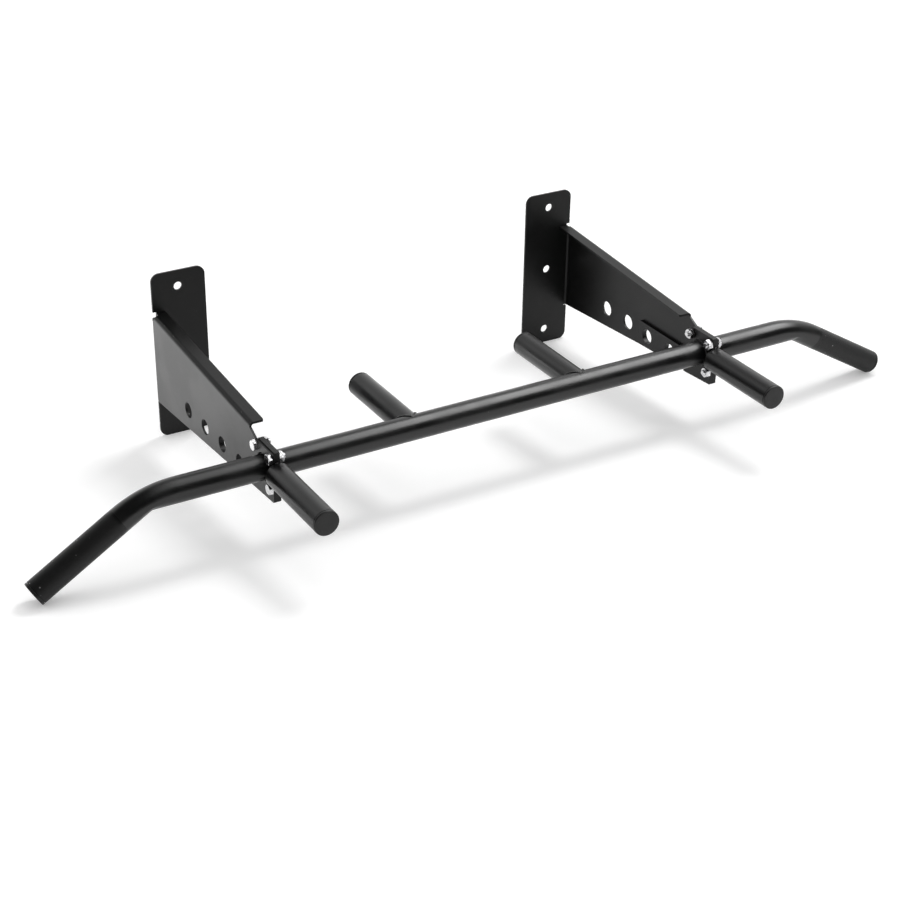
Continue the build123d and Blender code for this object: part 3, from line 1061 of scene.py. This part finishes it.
@dataclass
class WeldBeads:
    """Rippled weld beads under the powder coat.

    A bead's wrap is how far its round section runs on past the two surfaces, in radians. The crest is how
    soon, as a sine of the angle round the grip, a seam bead turns over where its two arms meet.
    """

    tube_radius: float = TUBE_RADIUS
    leg: float = 2.0 * MM
    hole_leg: float = 1.5 * MM
    hole_height: float = 0.9
    wrap: float = 0.12
    sunk: float = 0.4 * MM
    seam_leg: float = 2.6 * MM
    seam_height: float = 1.3 * MM
    seam_sunk: float = 1.0 * MM
    crest: float = 0.22
    tack_half: tuple[float, float, float] = (2.6 * MM, 1.5 * MM, 1.3 * MM)
    tack_inset: float = 0.5 * MM
    tack_ripple: float = 0.08
    tack_ripples: int = 5
    tack_segments: int = 32
    tack_steps: int = 17
    ripple: float = 0.12
    ripple_pitch: float = 1.7 * MM
    ripple_lag: float = 0.45
    steps_across: int = 11
    steps_a_ripple: int = 8
    seam_steps: int = 480
    sharp_angle: float = 60.0

    def scallops(self, along: Points, across: Points) -> Points:
        """Crescent ripples: a rectified sine of the distance along, which lags towards the bead's sides.

        Args:
            along: Distance along the bead over the ripple pitch.
            across: Place across the bead from -1 to 1.

        Returns:
            Factors about 1 for the bead's height.
        """
        phase = along + self.ripple_lag * across**2
        return 1 + self.ripple * (2 * np.abs(np.sin(pi * phase)) - 1)

    def ring(self, centre: Points, axis: Points, leg: float, height: float) -> Points:
        """A convex bead round a tube where it meets a plate.

        The section is a quarter circle about the corner, its radius the bead's leg times the ripples. It is
        closed by a point sunk behind the corner, and carried round the tube.

        Args:
            centre: Where the tube's axis meets the plate.
            axis: Unit vector from the plate towards the bead's side.
            leg: The bead's leg.
            height: How far it stands off the plate, as a share of its leg.

        Returns:
            A closed grid.
        """
        count = round(TURN * self.tube_radius / self.ripple_pitch)
        angle = np.linspace(0, TURN, count * self.steps_a_ripple, endpoint=False)[:, None]
        swing = np.linspace(-self.wrap, pi / 2 + self.wrap, self.steps_across)[None, :]
        size = leg * self.scallops(angle / TURN * count, 2 * swing / (pi / 2) - 1)
        sunk = np.full((len(angle), 1), self.sunk)
        out = np.concatenate([self.tube_radius + size * np.sin(swing), self.tube_radius - sunk], axis=1)
        off = np.concatenate([size * np.cos(swing) * height, -sunk], axis=1)
        first, second = frame_round(axis)
        outward = np.cos(angle)[..., None] * first + np.sin(angle)[..., None] * second
        return centre + out[..., None] * outward + off[..., None] * axis

    def seam(self, centre: Points) -> Points:
        """The bead round a rear grip, where two equal tubes meet at right angles.

        With a the angle round the grip, the seam runs through radius times (sin a, |sin a|, cos a). The
        section goes from one leg along the grip to one leg along the bar, bulges along the mean of both
        tubes' normals by a parabola times the ripples, and returns below the surfaces. At the crest the
        leg along the bar turns over it, so that the two arms run into each other.

        Args:
            centre: Where the grip's axis meets the bar's.

        Returns:
            A closed grid.
        """
        a = np.linspace(0, TURN, self.seam_steps, endpoint=False)[:, None]
        flat = np.stack([np.sin(a), np.zeros_like(a), np.cos(a)], axis=-1)
        rise = np.stack([np.zeros_like(a), np.abs(np.sin(a)), np.cos(a)], axis=-1)
        seam = self.tube_radius * np.stack([np.sin(a), np.abs(np.sin(a)), np.cos(a)], axis=-1)
        normal = unit(flat + rise)
        side = np.tanh(np.sin(a) / self.crest)
        along_bar = unit(np.stack([side, np.abs(side) - 1, np.zeros_like(a)], axis=-1))
        along_grip = np.array([0.0, 1.0, 0.0])
        across = np.linspace(0, 1, self.steps_across)[None, :, None]
        chord = self.seam_leg * ((1 - across) * along_grip + across * along_bar)
        length = np.cumsum(np.linalg.norm(np.diff(seam[:, 0], axis=0, append=seam[:1, 0]), axis=1))
        along = np.round(length[-1] / self.ripple_pitch) * length / length[-1]
        ripples = self.scallops(along[:, None], 2 * across[..., 0] - 1)[..., None]
        bulge = 4 * across * (1 - across) * self.seam_height * ripples
        top = seam + chord + normal * bulge
        below = seam - normal * self.seam_sunk
        return centre + np.concatenate([top, below], axis=1)

    def tack(self, centre: Points) -> Points:
        """A short bead: an ellipsoid along x, whose girth swells by a cosine of a few times its swing.

        Args:
            centre: Its middle.

        Returns:
            A grid with a pole at each end.
        """
        turn = np.linspace(0, TURN, self.tack_segments, endpoint=False)[:, None]
        swing = np.linspace(0, pi, self.tack_steps)[None, :]
        girth = np.sin(swing) * (1 + self.tack_ripple * np.cos(self.tack_ripples * swing))
        grid = [np.cos(swing) * np.ones_like(turn), girth * np.cos(turn), girth * np.sin(turn)]
        return centre + np.stack(grid, axis=-1) * np.array(self.tack_half)

    def build(self, material: bpy.types.Material) -> None:
        """Makes the beads of both sides.

        Args:
            material: The coat on the welds.
        """
        rings, tacks, seams = Skin(), Skin(), Skin()
        middle = {node: 0.5 * sum(corners(node)) for node in ("centre_bar", "right_rear_grip")}
        axis_y, axis_z = middle["centre_bar"][1:]
        flange_low, flange_high = corners("right_centre_flange")
        face_x = corners("right_outer_flange")[1][0]
        tack_x = (face_x + flange_high[0]) / 2
        tack_y = corners("front_grip_welds")[1][1] - self.tack_inset
        inner, outer = np.array([flange_low[0], axis_y, axis_z]), np.array([face_x, axis_y, axis_z])
        grip = np.array([middle["right_rear_grip"][0], axis_y, axis_z])
        out = np.array([1.0, 0.0, 0.0])
        for side in Side:
            ring = self.ring(inner * side.flip, -out * side.flip, self.leg, 1.0)
            rings.add(ring, round_columns=True)
            ring = self.ring(outer * side.flip, out * side.flip, self.hole_leg, self.hole_height)
            rings.add(ring, round_columns=True)
            seams.add(self.seam(grip * side.flip), round_columns=True)
            for up in (-1, 1):
                spot = np.array([tack_x, tack_y, axis_z + up * self.tube_radius])
                tacks.add(self.tack(spot * side.flip))
        for skin, piece, node in (
            (rings, "flange_weld_beads", "flange_welds"),
            (tacks, "front_grip_weld_beads", "front_grip_welds"),
            (seams, "rear_grip_weld_beads", "rear_grip_welds"),
        ):
            fit(skin.to_object(piece, self.sharp_angle), material, node)


@dataclass
class BarAssembly:
    """The three bar sections, the four grips and their caps."""

    drop: float = radians(30)
    lean: float = radians(2.5)
    end_length: float = 170 * MM

    def droop(self) -> Points:
        """The unit direction of the right-hand drooping end."""
        level = cos(self.drop)
        return np.array([level * cos(self.lean), -level * sin(self.lean), -sin(self.drop)])

    def caps(self) -> dict[str, EndCap]:
        """The right-hand caps.

        Returns:
            Each cap by the name of its piece.
        """
        return {
            "bar_end_plugs": EndCap("bar_end_caps", self.droop()),
            "front_grip_plugs": EndCap("front_grip_caps", np.array([0.0, -1.0, 0.0])),
            "rear_grip_plugs": EndCap("rear_grip_caps", np.array([0.0, 1.0, 0.0])),
        }

    def outer_tube(self) -> OuterTube:
        """The right-hand outer section, whose straight lines meet the end's length back from its cap.

        Returns:
            The tube.
        """
        axis = self.droop()
        end = self.caps()["bar_end_plugs"].seat()
        return OuterTube(axis, end, end - axis * self.end_length)

    def knurled_coat(self) -> KnurledCoat:
        """The coat whose knurling follows the drooping ends."""
        tube = self.outer_tube()
        return KnurledCoat(corner=tube.corner, axis=tube.axis, start_along=tube.knurl_start)

    def build(self, finishes: Finishes) -> None:
        """Dresses the tubes and makes the bent ones and the caps.

        Args:
            finishes: The object's finishes.
        """
        dress("centre_bar", finishes.tubes)
        for side in Side:
            self.outer_tube().build(side, finishes.tubes, finishes.knurled)
            dress(f"{side.label}_front_grip", finishes.tubes)
            dress(f"{side.label}_rear_grip", finishes.tubes)
        for name, cap in self.caps().items():
            cap.build(name, finishes.plastic)


@dataclass
class Brackets:
    """The two bent sheet brackets and the flanges bolted to them."""

    plates: tuple[str, ...] = ("bracket", "outer_flange", "centre_flange")

    def build(self, finishes: Finishes) -> None:
        """Dresses every plate.

        Args:
            finishes: The object's finishes.
        """
        for side in Side:
            for plate in self.plates:
                dress(f"{side.label}_{plate}", finishes.brackets)


# Studio ------------------------------------------------------------------------------------------------
class Reach(Enum):
    """Which part of a surface's answer a lamp takes part in."""

    LIGHT = "light only"
    GLOSS = "reflections only"


@dataclass
class SoftBox:
    """A rectangular soft box, turned to the object or hung level."""

    name: str
    place: tuple[float, float, float]
    width: float
    depth: float
    power: float
    reach: Reach
    level: bool = False

    def build(self, target: Vector) -> None:
        """Hangs the lamp.

        Args:
            target: The point that it faces, unless it is level.
        """
        data = bpy.data.lights.new(self.name, "AREA")
        data.shape, data.size, data.size_y, data.energy = "RECTANGLE", self.width, self.depth, self.power
        lamp = bpy.data.objects.new(self.name, data)
        lamp.location = self.place
        if not self.level:
            lamp.rotation_euler = (target - Vector(self.place)).to_track_quat("-Z", "Y").to_euler()
        lamp.visible_diffuse = self.reach is Reach.LIGHT
        lamp.visible_glossy = self.reach is Reach.GLOSS
        bpy.context.scene.collection.objects.link(lamp)


@dataclass
class Studio:
    """A white floor, soft lamps and a pale room.

    The floor's glow grows over the fall-off's distances from the origin. In reflections it also glows
    around the bar's left end, fading between two shares of the box's reach to that side and between two
    depths along y. The room's last spans are parts of the direction that a reflection looks in: backwards,
    upwards and sideways.
    """

    floor_reach: float = 60.0
    floor_points: int = 161
    floor_crowding: int = 4
    slope: float = 0.0616
    slope_end: float = 0.62
    floor_tone: float = 0.86
    floor_roughness: float = 0.9
    fibres: float = 60.0
    fibre_spread: float = 0.02
    floor_glow: float = 0.22
    far_glow: float = 1.0
    fall_off: Span = (0.7, 2.5)
    side_glow: float = 1.0
    beside: Span = (0.75, 0.4)
    beside_depth: Span = (-0.35, 0.1)
    room_tone: float = 0.74
    front_tone: float = 0.005
    white: float = 1.1
    behind: Span = (-0.1, 0.4)
    overhead: Span = (0.55, 0.85)
    far_left: Span = (-0.75, -0.42)
    lamps: tuple[SoftBox, ...] = (
        SoftBox("key_soft_box", (2.4, 0.9, 3.9), 1.5, 1.5, 84.0, Reach.LIGHT),
        SoftBox("key_glint", (2.4, 0.9, 3.9), 1.3, 1.3, 50.0, Reach.GLOSS),
        SoftBox("top_soft_box", (0.0, -0.35, 3.4), 1.2, 2.0, 6.0, Reach.LIGHT, level=True),
        SoftBox("wide_soft_box", (1.35, -0.47, 1.5), 1.8, 1.6, 67.0, Reach.GLOSS, level=True),
        SoftBox("side_soft_box", (0.07, -0.47, 1.5), 0.76, 1.6, 6.0, Reach.GLOSS, level=True),
    )

    def floor_grid(self) -> Points:
        """The floor's points.

        The floor passes under the wall leaves' feet and under the bar's ends: it rises towards the front
        in proportion to the distance from the wall, from none at the wall to full at the slope's end, and
        is level beyond both.

        Returns:
            A square grid, finer in its middle.
        """
        step = np.linspace(-1, 1, self.floor_points)
        spread = self.floor_reach * np.sign(step) * np.abs(step) ** self.floor_crowding
        x, y = np.meshgrid(spread, spread, indexing="ij")
        ahead = np.clip(-y, 0, self.slope_end)
        return np.stack([x, y, CAD_BOX[0][2] + self.slope * ahead], axis=-1)

    def floor_material(self) -> bpy.types.Material:
        """A matt white paper that keeps its shadows.

        It glows a little for the camera and for reflections, and more where the lamps' light has fallen
        off. Reflections also see it glow around the bar's left end.

        Returns:
            The material.
        """
        surface = Surface("white_paper")
        graph = surface.graph
        rays = graph.node("ShaderNodeLightPath").outputs
        seen = graph.math("MAXIMUM", rays["Is Camera Ray"], rays["Is Glossy Ray"])
        seen = graph.math("MAXIMUM", seen, rays["Is Transmission Ray"])
        fibre = graph.noise(surface.place, self.fibres, 3.0)
        colour = graph.blend(fibre, grey(self.floor_tone), grey(self.floor_tone + self.fibre_spread))
        surface.set(Base_Color=colour, Roughness=self.floor_roughness, Specular_IOR_Level=0.0)
        surface.set(Emission_Color=grey(1.0))
        distance = graph.vector("LENGTH", surface.place)
        away = graph.spread(distance, (self.floor_glow, self.far_glow), self.fall_off)
        x, y, _ = graph.split(surface.place)
        left_end = CAD_BOX[0][0]
        beside = graph.spread(x, (1.0, 0.0), tuple(left_end * share for share in self.beside))
        depth = graph.spread(y, (0.0, self.side_glow), self.beside_depth)
        beside = graph.math("MULTIPLY", graph.math("MULTIPLY", beside, depth), rays["Is Glossy Ray"])
        surface.set(Emission_Strength=graph.math("MULTIPLY_ADD", seen, away, beside))
        return surface.material

    def room(self) -> bpy.types.World:
        """The room: white to the camera, and plain to the light that it sends.

        Reflections see it white behind the object, up to a height and except at the far left, and dark
        elsewhere.

        Returns:
            The world.
        """
        world = bpy.data.worlds.new("pale_room")
        world.use_nodes = True
        graph = Graph(world.node_tree)
        rays = graph.node("ShaderNodeLightPath").outputs
        x, y, z = graph.split(graph.node("ShaderNodeTexCoord").outputs["Generated"])
        behind = graph.spread(y, (0.0, 1.0), self.behind)
        low = graph.spread(z, (1.0, 0.0), self.overhead)
        low = graph.math("MULTIPLY", low, graph.spread(x, (0.0, 1.0), self.far_left))
        lit = graph.math("MULTIPLY", behind, low)
        mirrored = graph.math("MAXIMUM", rays["Is Glossy Ray"], rays["Is Transmission Ray"])
        reflected = graph.blend(lit, grey(self.front_tone), grey(self.white))
        colour = graph.blend(mirrored, grey(self.room_tone), reflected)
        colour = graph.blend(rays["Is Camera Ray"], colour, grey(self.white))
        graph.feed(world.node_tree.nodes["Background"].inputs["Color"], colour)
        return world

    def build(self) -> None:
        """Makes the floor, the lamps and the room's light."""
        skin = Skin()
        skin.add(self.floor_grid(), round_rows=False)
        floor = skin.to_object("studio_floor")
        if floor.data.polygons[0].normal.z < 0:
            floor.data.flip_normals()
        floor.data.materials.append(self.floor_material())
        middle = (CAD_BOX[0] + CAD_BOX[1]) / 2
        for lamp in self.lamps:
            lamp.build(middle)
        bpy.context.scene.world = self.room()
        bpy.context.scene.view_settings.view_transform = "Standard"
        log.info("studio with %d lamps", len(self.lamps))


@dataclass
class Viewpoint:
    """The camera, above the left front of the bar."""

    place: tuple[float, float, float] = (-1.18150, -2.22177, 1.15151)
    heading: float = 0.534933
    pitch: float = 0.503872
    roll: float = 0.013994
    sensor: float = 36.0
    lens: float = 75.7725

    def build(self) -> None:
        """Sets up the camera: it looks along the heading, tipped down by the pitch and rolled a little."""
        level_share = cos(self.pitch)
        ahead = Vector((sin(self.heading) * level_share, cos(self.heading) * level_share, -sin(self.pitch)))
        level = Vector((cos(self.heading), -sin(self.heading), 0))
        up = level.cross(ahead)
        across = level * cos(self.roll) + up * sin(self.roll)
        above = up * cos(self.roll) - level * sin(self.roll)
        data = bpy.data.cameras.new("viewpoint")
        data.sensor_width, data.lens = self.sensor, self.lens
        camera = bpy.data.objects.new("viewpoint", data)
        turn = Matrix((across, above, -ahead)).transposed().to_4x4()
        camera.matrix_world = Matrix.Translation(Vector(self.place)) @ turn
        bpy.context.scene.collection.objects.link(camera)
        bpy.context.scene.camera = camera


def main() -> None:
    """Builds the camera, the finishes, the sub-assemblies and the studio, in that order."""
    logging.basicConfig(level=logging.INFO, format="%(name)s: %(message)s")
    Viewpoint().build()
    effects = Effects(coat_grain(), dust_specks(), diamond_knurl())
    bar = BarAssembly()
    sheet = PowderCoat("powder_coat_sheet", roughness=0.37, roughness_spread=0.02, specular=0.25)
    finishes = Finishes(
        brackets=sheet.material(effects),
        tubes=PowderCoat("powder_coat_tube", edge=0.0).material(effects),
        knurled=bar.knurled_coat().material(effects),
        plastic=MouldedPlastic().material(effects),
        zinc=ZincPlate().material(effects),
        welds=WeldCoat().material(effects),
    )
    Brackets().build(finishes)
    bar.build(finishes)
    Fasteners().build(finishes.zinc)
    WeldBeads().build(finishes.welds)
    Studio().build()


if __name__ == "__main__":
    main()
